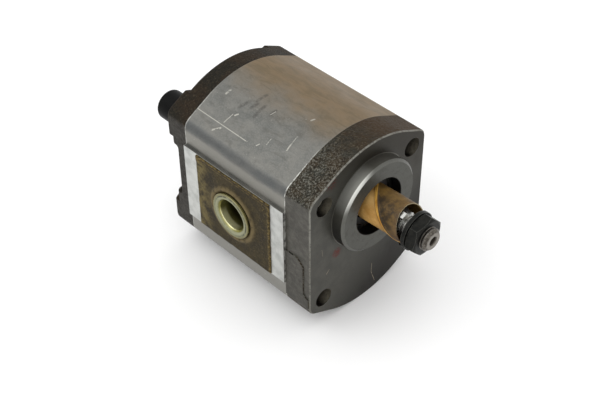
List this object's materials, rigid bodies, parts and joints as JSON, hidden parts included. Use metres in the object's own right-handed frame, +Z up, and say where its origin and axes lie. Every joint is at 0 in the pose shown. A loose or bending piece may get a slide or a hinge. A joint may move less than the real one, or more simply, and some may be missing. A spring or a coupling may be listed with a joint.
{
  "type": "hydraulic gear pump",
  "caption": "External gear pump with a square-pattern piloted front cover, aluminium body, cast rear cover, side ports and a tapered keyed drive shaft.",
  "frame": {"origin": "drive shaft axis in the plane of the front cover's mounting face", "axes": "+X along the drive shaft towards its threaded end, +Z up with the driven shaft below the drive shaft, ports facing -Y and +Y"},
  "size_m": [0.1505, 0.0878, 0.099],
  "materials": {
    "front_cast": "satin",
    "rear_cast": "matte",
    "body_alloy": "satin",
    "block_alloy": "satin",
    "ground_steel": "satin",
    "black_steel": "satin",
    "bush_bronze": "satin",
    "seal_rubber": "matte",
    "brown_sheet": "satin",
    "plug_metal": "satin",
    "kraft_paper": "matte"
  },
  "bodies": {
    "housing": {"front_cover": "front_cast", "pump_body": "body_alloy", "rear_cover": "rear_cast", "body_seal_front": "seal_rubber", "body_seal_rear": "seal_rubber", "dowel_pins": "ground_steel", "through_bolt": "black_steel", "bearing_block_front": "block_alloy", "bearing_block_rear": "block_alloy", "balance_seal_front": "seal_rubber", "balance_seal_rear": "seal_rubber", "bushes_front": "bush_bronze", "bushes_rear": "bush_bronze", "shaft_seal": "seal_rubber", "garter_spring": "ground_steel", "retaining_ring": "black_steel", "port_sheet_a": "brown_sheet", "port_sheet_b": "brown_sheet", "port_plug_a": "plug_metal", "port_plug_b": "plug_metal"},
    "drive_shaft": {"drive_gear_shaft": "ground_steel", "woodruff_key": "ground_steel", "paper_sleeve": "kraft_paper", "spring_washer": "black_steel", "hex_nut": "black_steel"},
    "driven_shaft": {"driven_gear_shaft": "ground_steel"}
  },
  "joints": [
    {"name": "drive_spin", "type": "hinge", "parent": "housing", "child": "drive_shaft", "pos_m": [-0.051, 0, 0], "axis": [1, 0, 0], "continuous": true},
    {"name": "driven_spin", "type": "hinge", "parent": "housing", "child": "driven_shaft", "pos_m": [-0.051, 0, -0.031], "axis": [1, 0, 0], "continuous": true}
  ],
  "couplings": [
    {"joint": "driven_spin", "follows": "drive_spin", "ratio": -1}
  ]
}
